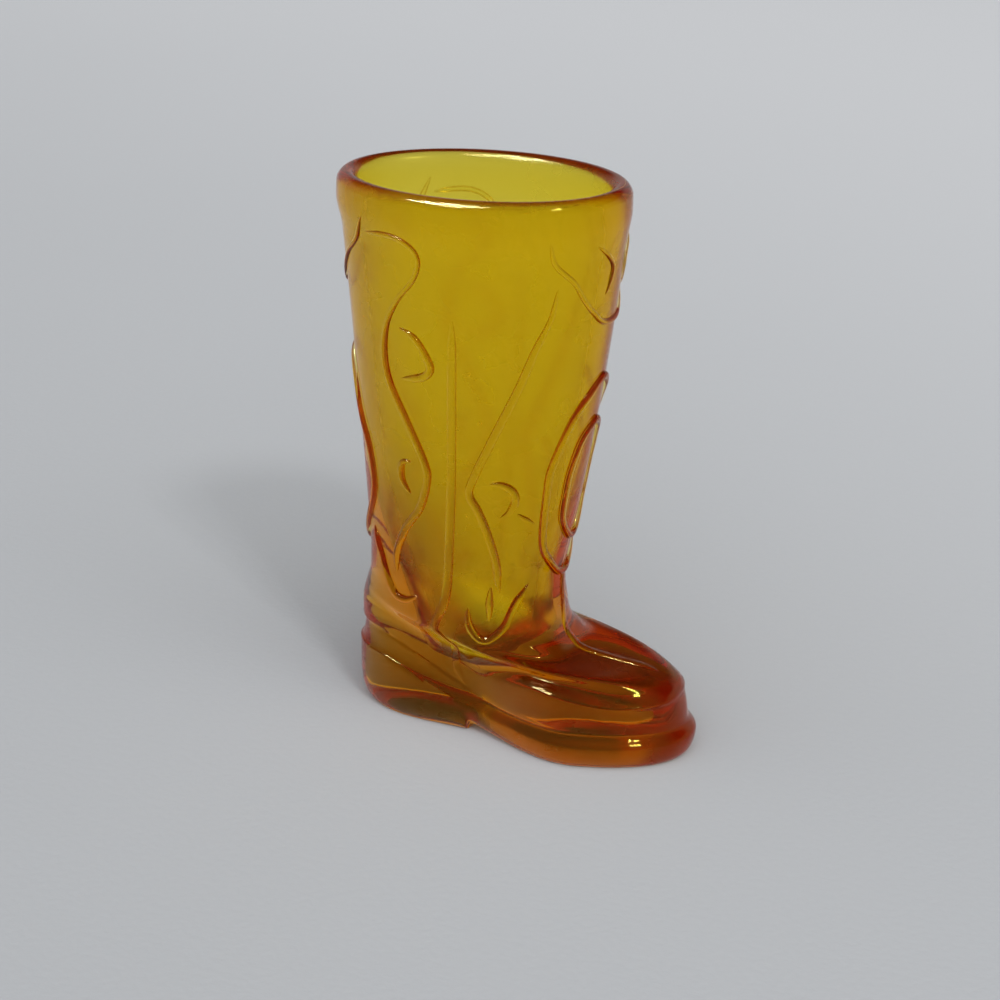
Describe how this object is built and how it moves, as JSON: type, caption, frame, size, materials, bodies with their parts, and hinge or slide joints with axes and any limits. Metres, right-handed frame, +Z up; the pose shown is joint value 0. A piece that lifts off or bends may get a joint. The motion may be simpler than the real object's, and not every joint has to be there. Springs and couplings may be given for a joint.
{
  "type": "boot shot glass",
  "caption": "Small pressed amber glass in the shape of a tall western boot, with raised scroll and leaf lines on the leg, a thick rounded rim and a flat heel and sole to stand on.",
  "frame": {"origin": "on the standing surface, under the middle of the boot's overall length and width", "axes": "+Z up out of the mouth, +X towards the toe, +Y towards the boot's left side"},
  "size_m": [0.0598, 0.0308, 0.0895],
  "materials": {
    "amber_glass": "clear amber pressed glass, smooth fire-polished surface, yellow where thin and orange-brown where thick"
  },
  "bodies": {
    "root": {"rim_bead": "amber_glass", "leg_wall": "amber_glass", "foot": "amber_glass", "sole": "amber_glass", "heel": "amber_glass", "back_collar": "amber_glass", "back_leaf": "amber_glass", "front_collar": "amber_glass", "front_cup_left": "amber_glass", "front_cup_right": "amber_glass", "front_curl_left": "amber_glass", "front_curl_right": "amber_glass", "front_leaf_inner": "amber_glass", "front_leaf_outer": "amber_glass", "front_plume_left": "amber_glass", "front_plume_right": "amber_glass", "front_scroll_left": "amber_glass", "front_scroll_right": "amber_glass", "front_seam": "amber_glass", "front_stem_left": "amber_glass", "front_stem_right": "amber_glass", "front_tendril_left": "amber_glass", "front_tendril_right": "amber_glass", "rear_cup_left": "amber_glass", "rear_cup_right": "amber_glass", "rear_curl_lower_left": "amber_glass", "rear_curl_lower_right": "amber_glass", "rear_curl_upper_left": "amber_glass", "rear_curl_upper_right": "amber_glass", "rear_scroll_left": "amber_glass", "rear_scroll_right": "amber_glass", "side_seam_left": "amber_glass", "side_seam_right": "amber_glass"}
  },
  "joints": []
}
